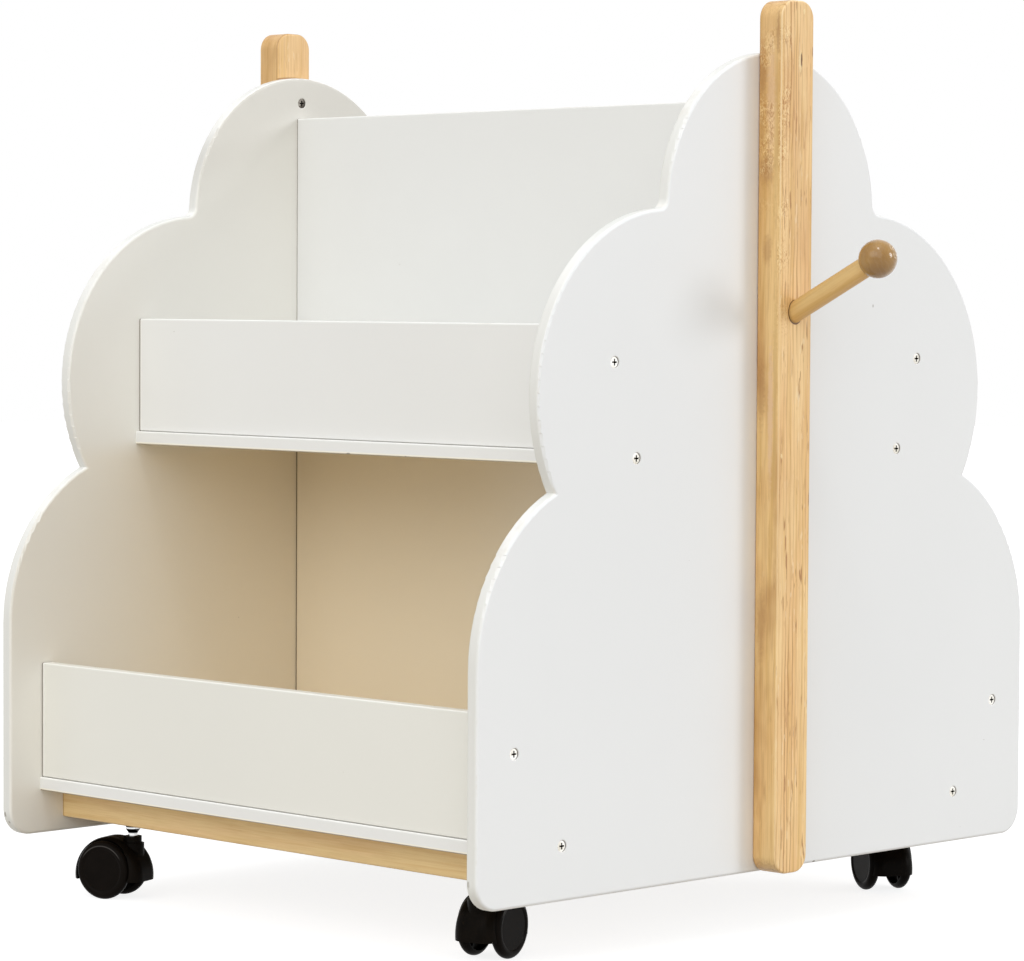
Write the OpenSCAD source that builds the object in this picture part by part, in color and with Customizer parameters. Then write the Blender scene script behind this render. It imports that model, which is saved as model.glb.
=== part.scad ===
// Tree-shaped bookcase on casters: two lobed side panels, shelves, lips and a centre divider between them.
// X runs from panel to panel, -Y is the front, Z is up, and the origin is on the floor under the centre.

/* [Boards] */
// Clear length between the two side panels
clear_len = 446.6; // [360:0.1:700]
// Thickness of every lacquered board
board_t = 9.2; // [8:0.1:14]
// Rounding of the long edges of shelves, lips and dividers
arris_r = 1.2; // [0.4:0.1:3]

/* [Side panels] */
// Depth of a side panel, front to rear, over the lowest lobes
panel_depth = 533; // [500:1:600]
// Height of the panels' and posts' lower ends above the floor
ground_gap = 43.2; // [30:0.1:52]
// Radius of the lowest and middle lobes
lobe_r = 117.2; // [105:0.1:125]
// Radius of the crown lobe
crown_r = 100.8; // [92:0.1:110]
// Height of the lowest lobes' centres
low_lobe_z = 189.4; // [170:0.1:205]
// Height of the middle lobes' centres
mid_lobe_z = 353.8; // [340:0.1:370]
// Setback of the middle lobes from the lowest ones
mid_lobe_in = 50.7; // [38:0.1:64]
// Height of the crown lobe's centre
crown_z = 472.2; // [455:0.1:490]
// Radius of the inner corners between lobes
notch_r = 7; // [3:0.5:14]
// Radius of a panel's two bottom corners
foot_corner_r = 18; // [8:0.5:30]
// Rounding of the panels' outline edges
panel_edge_r = 2.2; // [0.8:0.1:3.6]

/* [Shelves and lips] */
// Setback of the lower shelf's long edges from the panels' front and rear
low_shelf_in = 26; // [17:0.5:36]
// Setback of the upper shelf's long edges from the panels' front and rear
top_shelf_in = 111; // [102:0.5:121]
// Clear height between the two shelves
low_bay_h = 227.8; // [200:0.1:240]
// Height of the divider above the upper shelf
top_divider_h = 224.3; // [180:0.1:232]
// Height of a lip above its shelf
lip_h = 79; // [55:0.5:100]
// Setback of a lower lip from the shelf's front edge
low_lip_setback = 1.5; // [0:0.1:6]
// Setback of an upper lip from the shelf's front edge
top_lip_setback = 2.9; // [0:0.1:6]

/* [Pine parts] */
// Height of a rail under the lower shelf
rail_h = 20; // [17:0.1:24]
// Depth of a rail, front to rear
rail_w = 38; // [30:0.1:46]
// Setback of a rail from the lower shelf's front edge
rail_setback = 19.8; // [10:0.1:30]
// Width of a post, front to rear
post_w = 31.5; // [26:0.1:40]
// Thickness of a post
post_t = 19.5; // [17.5:0.1:26]
// Height of a post's top above the floor
post_top = 605.6; // [590:0.1:640]
// Radius of a post's rounded ends
post_end_r = 11.5; // [4:0.1:12.5]
// Rounding of a pine part's long edges
pine_edge_r = 1.5; // [0.5:0.1:3]

/* [Pegs] */
// Height of a peg's axis where it leaves the post
peg_z = 406.4; // [340:0.1:470]
// Tilt of a peg above the level
peg_tilt = 26.4; // [15:0.1:35]
// Diameter of a peg
peg_d = 13.4; // [10:0.1:15]
// Distance from the post's face to the ball's centre along the peg
peg_reach = 75.6; // [50:0.1:110]
// Depth of a peg in the post, along the peg
peg_depth = 16; // [10:0.1:17]
// Diameter of a ball
ball_d = 24.6; // [22:0.1:32]

/* [Screws and dowels] */
// Diameter of a screw's shank
screw_d = 4; // [3:0.1:4.5]
// Diameter of a screw's head
screw_head_d = 7.2; // [6.4:0.1:7.6]
// Diameter of a countersink at the board's face
countersink_d = 8; // [7.8:0.1:8.6]
// Length of a screw into the end of a board
long_screw_l = 40; // [30:1:50]
// Length of a screw from a panel into a post
post_screw_l = 25; // [20:0.5:26]
// Length of a screw from a rail into the shelf
rail_screw_l = 25; // [22:0.5:27]
// Height of a lip screw above its shelf
lip_screw_up = 55.6; // [35:0.1:70]
// Height of a post's upper screw above the divider's top
post_screw_up = 11.3; // [8:0.1:16]
// Height of a post's lower screw above the panel's lower end
post_screw_low = 14; // [9:0.1:20]
// Distance of a shelf screw from the shelf's front edge, lower shelf
low_shelf_screw_in = 48.2; // [20:0.1:70]
// Distance of a shelf screw from the shelf's front edge, upper shelf
top_shelf_screw_in = 27.9; // [20:0.1:50]
// Distance of a divider screw from the end of the divider's height
divider_screw_in = 48; // [25:1:70]
// Distance of a rail's outer screw from the centre
rail_screw_out = 196; // [188:1:205]
// Distance of a rail's inner screw from the centre
rail_screw_mid = 143; // [60:1:150]
// Diameter of a lip dowel
dowel_d = 5; // [4:0.1:6]
// Length of a lip dowel
dowel_l = 20; // [14:1:30]
// Distance of a lip dowel from the centre
dowel_x = 110; // [60:1:150]

/* [Casters] */
// Height of a rail's underside above the floor
caster_h = 53; // [52:0.1:60]
// Distance of a caster's stem from the centre of the length
caster_x = 170.1; // [160:0.1:172]
// Diameter of a wheel
wheel_d = 40; // [34:0.5:41]
// Width of a wheel
wheel_w = 6.6; // [6.6:0.1:12]
// Rounding of a wheel's outer shoulder
wheel_shoulder_r = 2.8; // [1:0.1:3]
// Distance from a stem's axis to the axle
trail = 16; // [13:0.1:19]
// Thickness of the hood's middle wall between the wheels
web_t = 15.4; // [13:0.1:16]
// Outer radius of a hood, seen from its side
hood_r = 26.3; // [26:0.1:27.2]
// Drop of the hood's centre below the axle
hood_drop = 4; // [3:0.1:4.2]
// Distance of the hood's centre from the axle, towards the stem
hood_lead = 1.2; // [0:0.1:2]
// Rounding of a hood from its crown to its sides
hood_round_r = 9.2; // [6:0.1:12]
// Half width of a hood
hood_half_w = 15; // [14:0.1:17]
// Height of a hood's lower edge above the floor
hood_edge_z = 12.7; // [10:0.1:14]
// Diameter of a stem
stem_d = 6.5; // [6:0.1:7.5]
// Diameter of a stem's flange
flange_d = 10.2; // [9.5:0.1:11.6]
// Height of a stem's flange under its rail
flange_h = 4.8; // [3:0.1:5.2]
// Height of the cone under a stem's flange
flange_cone_h = 2.7; // [1:0.1:3.4]
// Diameter of the hood's neck round the stem
neck_d = 12; // [11:0.1:14]
// Diameter of an axle
axle_d = 5; // [4:0.1:6]
// Direction in which the front left caster trails
turn_front_left = 200; // [0:1:359]
// Direction in which the front right caster trails
turn_front_right = 105; // [0:1:359]
// Direction in which the rear right caster trails
turn_rear_right = 153; // [0:1:359]
// Direction in which the rear left caster trails
turn_rear_left = 25; // [0:1:359]

/* [Clearances] */
// Radial clearance of a wheel on its axle and a hood on its stem
run_clear = 0.05; // [0.02:0.01:0.09]
// Radial clearance of a screw, dowel or insert in its hole
hole_clear = 0.06; // [0.02:0.01:0.15]
// Gap from a wheel to the hood
wheel_gap = 1; // [0.5:0.1:1.2]

/* [Hidden] */
$fn = 96;
cut = 1;

half_len = clear_len / 2;
outer_len = half_len + board_t;
half_depth = panel_depth / 2;
low_shelf_depth = panel_depth - 2 * low_shelf_in;
top_shelf_depth = panel_depth - 2 * top_shelf_in;

// Heights, from the floor up
rail_top = caster_h + rail_h;
low_shelf_top = rail_top + board_t;
top_shelf_z = low_shelf_top + low_bay_h;
top_shelf_top = top_shelf_z + board_t;
divider_top = top_shelf_top + top_divider_h;

// Centre lines of the lips and rails, measured from the middle of the depth
low_lip_y = low_shelf_depth / 2 - low_lip_setback - board_t / 2;
top_lip_y = top_shelf_depth / 2 - top_lip_setback - board_t / 2;
rail_y = low_shelf_depth / 2 - rail_setback - rail_w / 2;

// Outline of a side panel, in its own plane
low_lobe_y = half_depth - lobe_r;
mid_lobe_y = low_lobe_y - mid_lobe_in;
foot_y = half_depth - foot_corner_r;
foot_z = ground_gap + foot_corner_r;

// Screws: the cone of a head is seated in the cone of its countersink
head_sink = (countersink_d - screw_head_d) / 2;
head_h = (screw_head_d - screw_d) / 2;
tip_h = screw_d;
recess_w = 1.1;
recess_l = 4.2;
recess_deep = 1.3;
pan_head_h = 2.2;

low_shelf_screw_y = low_shelf_depth / 2 - low_shelf_screw_in;
top_shelf_screw_y = top_shelf_depth / 2 - top_shelf_screw_in;
// Places of the screws through a side panel on one side of the centre line, as depth and height
panel_screw_places = [
    [low_shelf_screw_y, low_shelf_top - board_t / 2],
    [low_lip_y, low_shelf_top + lip_screw_up],
    [top_shelf_screw_y, top_shelf_top - board_t / 2],
    [top_lip_y, top_shelf_top + lip_screw_up]
];
low_divider_screws = [low_shelf_top + divider_screw_in, top_shelf_z - divider_screw_in];
top_divider_screws = [top_shelf_top + divider_screw_in, divider_top - divider_screw_in];
divider_screw_places = concat(low_divider_screws, top_divider_screws);
post_screw_places = [ground_gap + post_screw_low, divider_top + post_screw_up];

// Dowels between a lip and its shelf
dowel_sink = 0.6 * board_t;
lip_places = [
    [-low_lip_y, low_shelf_top],
    [low_lip_y, low_shelf_top],
    [-top_lip_y, top_shelf_top],
    [top_lip_y, top_shelf_top]
];

// Casters
wheel_r = wheel_d / 2;
wheel_in = web_t / 2 + wheel_gap;
wheel_out = wheel_in + wheel_w;
wheel_inner_r = 3.6;
wheel_face_t = 2.6;
hub_wall = 2.6;
rim_t = 3.4;
spokes = 6;
spoke_t = 1.4;
cavity_r = wheel_r + wheel_gap + 0.1;
neck_top = 43.2;
stem_gap = 0.4;
stem_low_z = wheel_r + 1.6;
insert_d = stem_d + 2.4;
insert_l = rail_h - 6;
axle_l = 2 * (wheel_out - wheel_face_t + 1);
axle_seat_clear = 0.01;
caster_places = [
    [-caster_x, -rail_y, turn_front_left],
    [caster_x, -rail_y, turn_front_right],
    [caster_x, rail_y, turn_rear_right],
    [-caster_x, rail_y, turn_rear_left]
];

white = [0.93, 0.93, 0.92];
pine = [0.87, 0.7, 0.48];
rail_pine = [0.83, 0.7, 0.5];
dark_wood = [0.6, 0.46, 0.3];
steel = [0.75, 0.76, 0.78];
dark_steel = [0.16, 0.15, 0.14];
brass = [0.8, 0.65, 0.3];
black = [0.07, 0.07, 0.07];

// A point at distance ra from a and rb from b, on the right of the line from a to b
function meet(a, ra, b, rb) =
    let (
        d = norm(b - a),
        along = (d * d + ra * ra - rb * rb) / (2 * d),
        aside = sqrt(ra * ra - along * along),
        u = (b - a) / d
    )
    [a[0] + u[0] * along + u[1] * aside, a[1] + u[1] * along - u[0] * aside];

// Copies its child for the other half, across the plane between the two side panels
module both_ends() {
    children();
    mirror([1, 0, 0]) children();
}

// Lays a shape drawn in depth and height against the inner face of the right side panel
module at_right_end() {
    translate([half_len, 0, 0]) rotate([90, 0, 90]) children();
}

// Rectangle with rounded corners, its lower left corner at the origin
module round_rect(w, h, r) {
    translate([r, 0]) square([w - 2 * r, h]);
    translate([0, r]) square([w, h - 2 * r]);
    for (x = [r, w - r], y = [r, h - r])
        translate([x, y]) circle(r);
}

// Round disc of board with both rims rounded
module round_disc(r, t, e) {
    rotate_extrude() {
        square([r - e, t]);
        translate([0, e]) square([r, t - 2 * e]);
        for (z = [e, t - e])
            translate([r - e, z]) circle(e);
    }
}

// Straight strip of board along +X: its outer edge is rounded and lies on the X axis, the strip below it
module edge_strip(l, w, t, e) {
    rotate([90, 0, 90]) linear_extrude(l) {
        translate([-w, 0]) square([w - e, t]);
        translate([-w, e]) square([w, t - 2 * e]);
        for (z = [e, t - e])
            translate([-e, z]) circle(e);
    }
}

// Board with round corners and rounded edges all round
module round_slab(w, h, t, r, e) {
    for (x = [r, w - r], y = [r, h - r])
        translate([x, y, 0]) round_disc(r, t, e);
    translate([r, h, 0]) edge_strip(w - 2 * r, r, t, e);
    translate([w - r, 0, 0]) rotate([0, 0, 180]) edge_strip(w - 2 * r, r, t, e);
    translate([0, r, 0]) rotate([0, 0, 90]) edge_strip(h - 2 * r, r, t, e);
    translate([w, h - r, 0]) rotate([0, 0, -90]) edge_strip(h - 2 * r, r, t, e);
    translate([r, r, 0]) cube([w - 2 * r, h - 2 * r, t]);
}

// Board between the side panels: depth d about y, height h from z, long edges rounded
module plank(y, d, z, h, e) {
    translate([-half_len, y - d / 2, z])
        rotate([90, 0, 90]) linear_extrude(clear_len) round_rect(d, h, e);
}

// Fills the corner between two lobes of the panel, rounded and with the same edge as the lobes
module notch_fill(a, b, rb) {
    c = meet(a, lobe_r + notch_r, b, rb + notch_r);
    difference() {
        linear_extrude(board_t) polygon([a, c, b]);
        translate([c[0], c[1], 0]) rotate_extrude() difference() {
            translate([0, -cut]) square([notch_r + panel_edge_r, board_t + 2 * cut]);
            translate([notch_r, panel_edge_r]) square([panel_edge_r + cut, board_t - 2 * panel_edge_r]);
            for (z = [panel_edge_r, board_t - panel_edge_r])
                translate([notch_r + panel_edge_r, z]) circle(panel_edge_r);
        }
    }
}

// Lobe centres of the panel's right half, in depth and height
low_lobe = [low_lobe_y, low_lobe_z];
mid_lobe = [mid_lobe_y, mid_lobe_z];
crown = [0, crown_z];

// Copies a shape of the panel's plane to the other side of its centre line
module both_halves() {
    for (s = [0, 1])
        mirror([s, 0, 0]) children();
}

// The five lobes
module panel_lobes() {
    both_halves() {
        translate(low_lobe) round_disc(lobe_r, board_t, panel_edge_r);
        translate(mid_lobe) round_disc(lobe_r, board_t, panel_edge_r);
    }
    translate(crown) round_disc(crown_r, board_t, panel_edge_r);
}

// Flat middle that ties the lobes together
module panel_core() {
    linear_extrude(board_t) {
        translate([-foot_y, foot_z]) square([2 * foot_y, low_lobe_z - foot_z]);
        polygon([
            [-low_lobe_y, low_lobe_z], low_lobe, mid_lobe, crown, [-mid_lobe_y, mid_lobe_z]
        ]);
    }
}

// Outline of a tree crown, drawn in depth and height, one board thick
module panel_blank() {
    panel_lobes();
    panel_core();
    both_halves() translate([foot_y, foot_z, 0]) round_disc(foot_corner_r, board_t, panel_edge_r);
    both_halves() translate([half_depth, low_lobe_z, 0]) rotate([0, 0, -90])
        edge_strip(low_lobe_z - foot_z, foot_corner_r, board_t, panel_edge_r);
    translate([foot_y, ground_gap, 0]) rotate([0, 0, 180])
        edge_strip(2 * foot_y, foot_corner_r, board_t, panel_edge_r);
    both_halves() {
        notch_fill(low_lobe, mid_lobe, lobe_r);
        notch_fill(mid_lobe, crown, crown_r);
    }
}

// Countersunk cross-recess screw along -Z, its countersink's mouth at z = 0
module screw(l) {
    translate([0, 0, -head_sink]) difference() {
        union() {
            translate([0, 0, -head_h]) cylinder(h = head_h, d1 = screw_d, d2 = screw_head_d);
            translate([0, 0, tip_h - l]) cylinder(h = l - tip_h - head_h, d = screw_d);
            translate([0, 0, -l]) cylinder(h = tip_h, d1 = 0.6, d2 = screw_d);
        }
        for (a = [0, 90])
            rotate([0, 0, a]) translate([-recess_l / 2, -recess_w / 2, -recess_deep])
                cube([recess_l, recess_w, recess_deep + cut]);
    }
}

// Pan head cross-recess screw along -Z, the underside of its head at z = 0
module pan_screw(l) {
    round_r = pan_head_h - 0.6;
    difference() {
        union() {
            rotate_extrude() {
                square([screw_head_d / 2 - round_r, pan_head_h]);
                square([screw_head_d / 2, pan_head_h - round_r]);
                intersection() {
                    square([screw_head_d / 2, pan_head_h]);
                    translate([screw_head_d / 2 - round_r, pan_head_h - round_r]) circle(round_r);
                }
            }
            translate([0, 0, tip_h - l]) cylinder(h = l - tip_h, d = screw_d);
            translate([0, 0, -l]) cylinder(h = tip_h, d1 = 0.6, d2 = screw_d);
        }
        for (a = [0, 90])
            rotate([0, 0, a]) translate([-recess_l / 2, -recess_w / 2, pan_head_h - recess_deep])
                cube([recess_l, recess_w, recess_deep + cut]);
    }
}

// Hole for a screw of the same length, with its countersink, the mouth at z = 0
module screw_hole(l) {
    mouth = countersink_d / 2 - screw_d / 2;
    translate([0, 0, -mouth]) cylinder(h = mouth, d1 = screw_d, d2 = countersink_d);
    cylinder(h = cut, d = countersink_d);
    translate([0, 0, -l - head_sink - cut]) cylinder(h = l + cut, d = screw_d + 2 * hole_clear);
}

// Straight hole for a rail screw, its mouth at z = 0
module pan_hole() {
    translate([0, 0, -rail_screw_l - cut]) cylinder(h = rail_screw_l + 2 * cut, d = screw_d + 2 * hole_clear);
}

// Places of a right panel's screws: their heads on the outer face, their shanks towards the centre
module at_panel_screws() {
    for (s = [-1, 1], p = panel_screw_places)
        translate([outer_len, s * p[0], p[1]]) rotate([0, 90, 0]) children();
}

// Places of the screws that hold the dividers at the right end
module at_divider_screws(heights) {
    for (z = heights)
        translate([outer_len, 0, z]) rotate([0, 90, 0]) children();
}

// Places of the screws from the right panel's inner face into the post
module at_post_screws() {
    for (z = post_screw_places)
        translate([half_len, 0, z]) rotate([0, -90, 0]) children();
}

// Places of the screws that come up through a rail: s is -1 at the front and 1 at the rear
module at_rail_screws(s) {
    for (x = [s * rail_screw_out, -s * rail_screw_mid])
        translate([x, s * rail_y, caster_h]) rotate([180, 0, 0]) children();
}

// Places of the dowels under one lip, at the shelf's upper face
module at_dowels(p) {
    for (x = [-dowel_x, dowel_x])
        translate([x, p[0], p[1]]) children();
}

module dowel_holes(p) {
    at_dowels(p) translate([0, 0, -dowel_sink - hole_clear])
        cylinder(h = dowel_l + 2 * hole_clear, d = dowel_d + 2 * hole_clear);
}

// Peg axis of the right post: the child's +Z runs out and up along it from the post's face
module at_peg() {
    translate([outer_len + post_t, 0, peg_z]) rotate([0, 90 - peg_tilt, 0]) children();
}

module side_panel() {
    difference() {
        at_right_end() panel_blank();
        at_panel_screws() screw_hole(long_screw_l);
        at_divider_screws(divider_screw_places) screw_hole(long_screw_l);
        at_post_screws() screw_hole(post_screw_l);
    }
}

module right_side_panel() { color(white) side_panel(); }

module left_side_panel() { color(white) mirror([1, 0, 0]) side_panel(); }

module lower_shelf() {
    color(white) difference() {
        plank(0, low_shelf_depth, rail_top, board_t, arris_r);
        both_ends() at_panel_screws() screw_hole(long_screw_l);
        for (s = [-1, 1])
            at_rail_screws(s) pan_hole();
        for (i = [0, 1])
            dowel_holes(lip_places[i]);
    }
}

module upper_shelf() {
    color(white) difference() {
        plank(0, top_shelf_depth, top_shelf_z, board_t, arris_r);
        both_ends() at_panel_screws() screw_hole(long_screw_l);
        for (i = [2, 3])
            dowel_holes(lip_places[i]);
    }
}

module lower_divider() {
    color(white) difference() {
        plank(0, board_t, low_shelf_top, low_bay_h, arris_r / 2);
        both_ends() at_divider_screws(low_divider_screws) screw_hole(long_screw_l);
    }
}

module upper_divider() {
    color(white) difference() {
        plank(0, board_t, top_shelf_top, top_divider_h, arris_r);
        both_ends() at_divider_screws(top_divider_screws) screw_hole(long_screw_l);
    }
}

module lip(p) {
    color(white) difference() {
        plank(p[0], board_t, p[1], lip_h, arris_r);
        both_ends() at_panel_screws() screw_hole(long_screw_l);
        dowel_holes(p);
    }
}

module rail(s) {
    color(rail_pine) difference() {
        plank(s * rail_y, rail_w, caster_h, rail_h, pine_edge_r);
        at_rail_screws(s) pan_hole();
        for (x = [-caster_x, caster_x])
            translate([x, s * rail_y, caster_h - cut])
                cylinder(h = insert_l + cut + hole_clear, d = insert_d + 2 * hole_clear);
    }
}

module post() {
    difference() {
        translate([outer_len, -post_w / 2, ground_gap]) rotate([90, 0, 90])
            round_slab(post_w, post_top - ground_gap, post_t, post_end_r, pine_edge_r);
        at_post_screws() screw_hole(post_screw_l);
        at_peg() translate([0, 0, -peg_depth - hole_clear])
            cylinder(h = 2 * peg_depth, d = peg_d + 2 * hole_clear);
    }
}

module right_post() { color(pine) post(); }

module left_post() { color(pine) mirror([1, 0, 0]) post(); }

// Tilted dowel from its blind hole in the post to its blind hole in the ball
module peg() {
    at_peg() translate([0, 0, -peg_depth]) cylinder(h = peg_depth + peg_reach - hole_clear, d = peg_d);
}

module right_peg() { color(pine) peg(); }

module left_peg() { color(pine) mirror([1, 0, 0]) peg(); }

module peg_ball() {
    at_peg() difference() {
        translate([0, 0, peg_reach]) sphere(d = ball_d);
        translate([0, 0, peg_reach - ball_d]) cylinder(h = ball_d, d = peg_d + 2 * hole_clear);
    }
}

module right_peg_ball() { color(dark_wood) peg_ball(); }

module left_peg_ball() { color(dark_wood) mirror([1, 0, 0]) peg_ball(); }

module right_panel_screws() { color(steel) at_panel_screws() screw(long_screw_l); }

module left_panel_screws() { color(steel) mirror([1, 0, 0]) at_panel_screws() screw(long_screw_l); }

module divider_screws() {
    color(steel) both_ends() at_divider_screws(divider_screw_places) screw(long_screw_l);
}

module post_screws() { color(dark_steel) both_ends() at_post_screws() screw(post_screw_l); }

module rail_screws() {
    color(steel) for (s = [-1, 1])
        at_rail_screws(s) pan_screw(rail_screw_l);
}

module lip_dowels() {
    color(pine) for (p = lip_places)
        at_dowels(p) translate([0, 0, -dowel_sink]) cylinder(h = dowel_l, d = dowel_d);
}

// Threaded sleeves in the rails that take the caster stems
module rail_inserts() {
    color(brass) for (p = caster_places)
        translate([p[0], p[1], caster_h]) difference() {
            cylinder(h = insert_l, d = insert_d);
            translate([0, 0, -cut]) cylinder(h = insert_l + 2 * cut, d = stem_d + 2 * hole_clear);
        }
}

// Puts a caster piece on its stem: the piece is drawn about the stem's axis and trails towards +X
module at_caster(p) {
    translate([p[0], p[1], 0]) rotate([0, 0, p[2]]) children();
}

// Turns a shape drawn about the Z axis so that it lies on the axle
module on_axle() {
    translate([trail, 0, wheel_r]) rotate([90, 0, 0]) children();
}

// Stem screwed into the rail, with its flange, its cone and the journal that the hood turns on
module caster_stem(p) {
    cone_z = caster_h - flange_h - flange_cone_h;
    color(steel) at_caster(p) {
        translate([0, 0, caster_h]) cylinder(h = insert_l, d = stem_d);
        translate([0, 0, caster_h - flange_h]) cylinder(h = flange_h, d = flange_d);
        translate([0, 0, cone_z]) cylinder(h = flange_cone_h, d1 = stem_d, d2 = flange_d);
        translate([0, 0, stem_low_z + stem_gap]) cylinder(h = cone_z - stem_low_z - stem_gap, d = stem_d);
    }
}

// Dome of a hood about the axle: a round crown that rolls over to the sides
module hood_dome() {
    flat = hood_half_w - hood_round_r;
    rotate_extrude() {
        translate([0, -flat]) square([hood_r, 2 * flat]);
        translate([0, -hood_half_w]) square([hood_r - hood_round_r, 2 * hood_half_w]);
        intersection() {
            translate([0, -hood_half_w]) square([hood_r, 2 * hood_half_w]);
            for (s = [-1, 1])
                translate([hood_r - hood_round_r, s * flat]) circle(hood_round_r);
        }
    }
}

// Puts a shape of the hood's dome on the hood's own centre, below the axle and towards the stem
module on_hood() {
    translate([-hood_lead, 0, -hood_drop]) on_axle() children();
}

// Everything below a height, inside a hood's reach
module below(z) {
    translate([trail - 2 * hood_r, -hood_r, z - hood_r]) cube([4 * hood_r, 2 * hood_r, hood_r]);
}

// Hood with its dome, the wall between the wheels and the neck round the stem
module caster_hood(p) {
    neck_low = wheel_r + cavity_r - 3;
    color(black) at_caster(p) difference() {
        union() {
            difference() {
                on_hood() hood_dome();
                for (s = [-1, 1])
                    on_axle() translate([0, 0, s > 0 ? web_t / 2 : -web_t / 2 - hood_r])
                        cylinder(h = hood_r, r = cavity_r);
                below(hood_edge_z);
            }
            difference() {
                on_hood() translate([0, 0, -web_t / 2]) cylinder(h = web_t, r = hood_r - 2);
                below(hood_edge_z);
            }
            translate([0, 0, wheel_r]) cylinder(h = neck_low - wheel_r + 0.4, d = web_t);
            translate([0, 0, neck_low]) cylinder(h = neck_top - neck_low, d = neck_d);
        }
        translate([0, 0, stem_low_z]) cylinder(h = hood_r + cut, d = stem_d + 2 * run_clear);
        on_axle() translate([0, 0, -web_t]) cylinder(h = 2 * web_t, d = axle_d + 2 * axle_seat_clear);
    }
}

module caster_axle(p) {
    color(steel) at_caster(p) on_axle() translate([0, 0, -axle_l / 2]) cylinder(h = axle_l, d = axle_d);
}

// Section of a wheel, radius along X and distance from the caster's middle along Y
module wheel_section() {
    r = wheel_shoulder_r;
    i = wheel_inner_r;
    translate([0, wheel_in]) square([wheel_r - i, wheel_w - r]);
    translate([0, wheel_in + i]) square([wheel_r, wheel_w - r - i]);
    translate([0, wheel_in]) square([wheel_r - r, wheel_w]);
    translate([wheel_r - r, wheel_out - r]) circle(r);
    translate([wheel_r - i, wheel_in + i]) circle(i);
}

// Wheel with a closed outer face: rim, hub and spokes show on the side towards the hood's middle wall
module caster_wheel(p, s) {
    hub_r = axle_d / 2 + run_clear + hub_wall;
    pocket = wheel_w - wheel_face_t;
    color(black) at_caster(p) on_axle() mirror([0, 0, s > 0 ? 0 : 1]) difference() {
        rotate_extrude() wheel_section();
        translate([0, 0, wheel_in - cut])
            cylinder(h = wheel_w - wheel_face_t + 1.2 + cut, r = axle_d / 2 + run_clear);
        difference() {
            translate([0, 0, wheel_in - cut]) cylinder(h = pocket + cut, r = wheel_r - rim_t);
            translate([0, 0, wheel_in - 2 * cut]) cylinder(h = pocket + 3 * cut, r = hub_r);
            for (i = [0 : spokes - 1])
                rotate([0, 0, i * 360 / spokes]) translate([0, -spoke_t / 2, wheel_in + cut])
                    cube([wheel_r, spoke_t, pocket]);
        }
    }
}

right_side_panel();
left_side_panel();
lower_shelf();
upper_shelf();
lower_divider();
upper_divider();
lip(lip_places[0]);  // front_lower_lip
lip(lip_places[1]);  // rear_lower_lip
lip(lip_places[2]);  // front_upper_lip
lip(lip_places[3]);  // rear_upper_lip
rail(-1);  // front_rail
rail(1);  // rear_rail
right_post();
left_post();
right_peg();
left_peg();
right_peg_ball();
left_peg_ball();
right_panel_screws();
left_panel_screws();
divider_screws();
post_screws();
rail_screws();
lip_dowels();
rail_inserts();
caster_stem(caster_places[0]);  // front_left_stem
caster_hood(caster_places[0]);  // front_left_hood
caster_axle(caster_places[0]);  // front_left_axle
caster_wheel(caster_places[0], 1);  // front_left_wheel_a
caster_wheel(caster_places[0], -1);  // front_left_wheel_b
caster_stem(caster_places[1]);  // front_right_stem
caster_hood(caster_places[1]);  // front_right_hood
caster_axle(caster_places[1]);  // front_right_axle
caster_wheel(caster_places[1], 1);  // front_right_wheel_a
caster_wheel(caster_places[1], -1);  // front_right_wheel_b
caster_stem(caster_places[2]);  // rear_right_stem
caster_hood(caster_places[2]);  // rear_right_hood
caster_axle(caster_places[2]);  // rear_right_axle
caster_wheel(caster_places[2], 1);  // rear_right_wheel_a
caster_wheel(caster_places[2], -1);  // rear_right_wheel_b
caster_stem(caster_places[3]);  // rear_left_stem
caster_hood(caster_places[3]);  // rear_left_hood
caster_axle(caster_places[3]);  // rear_left_axle
caster_wheel(caster_places[3], 1);  // rear_left_wheel_a
caster_wheel(caster_places[3], -1);  // rear_left_wheel_b
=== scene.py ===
import math

import bpy
import numpy as np
from mathutils import Matrix, Vector

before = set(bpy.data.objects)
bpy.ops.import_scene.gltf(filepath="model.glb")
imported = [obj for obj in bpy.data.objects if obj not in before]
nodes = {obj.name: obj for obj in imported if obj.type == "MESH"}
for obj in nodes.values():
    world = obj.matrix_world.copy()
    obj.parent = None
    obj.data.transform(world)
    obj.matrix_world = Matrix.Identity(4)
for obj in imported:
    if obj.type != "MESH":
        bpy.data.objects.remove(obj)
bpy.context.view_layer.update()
print("frame loaded:", len(nodes), "nodes")


# Camera at the photograph's place: a long lens, turned 45 degrees from the front and a little down
cameraSet = {
    "place": (1.86051, -1.86771, 0.41493),
    "turn": 44.965,  # degrees from looking along +Y, towards -X
    "dip": 2.753,
    "roll": -0.313,
    "lens": 134.299,
    "sensor": 36.0,
    "clip": (0.05, 50.0),
}


def makeCamera(s):
    turn, dip, roll = (math.radians(s[k]) for k in ("turn", "dip", "roll"))
    ahead = Vector((-math.sin(turn) * math.cos(dip), math.cos(turn) * math.cos(dip), -math.sin(dip)))
    side = Vector((math.cos(turn), math.sin(turn), 0.0))
    down = ahead.cross(side)
    right = side * math.cos(roll) + down * math.sin(roll)
    up = side * math.sin(roll) - down * math.cos(roll)
    data = bpy.data.cameras.new("photoCamera")
    data.lens = s["lens"]
    data.sensor_width = s["sensor"]
    data.clip_start, data.clip_end = s["clip"]
    camera = bpy.data.objects.new("photoCamera", data)
    camera.matrix_world = Matrix((
        (right.x, up.x, -ahead.x, s["place"][0]),
        (right.y, up.y, -ahead.y, s["place"][1]),
        (right.z, up.z, -ahead.z, s["place"][2]),
        (0.0, 0.0, 0.0, 1.0),
    ))
    bpy.context.scene.collection.objects.link(camera)
    bpy.context.scene.camera = camera


makeCamera(cameraSet)
print("camera placed")


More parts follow.
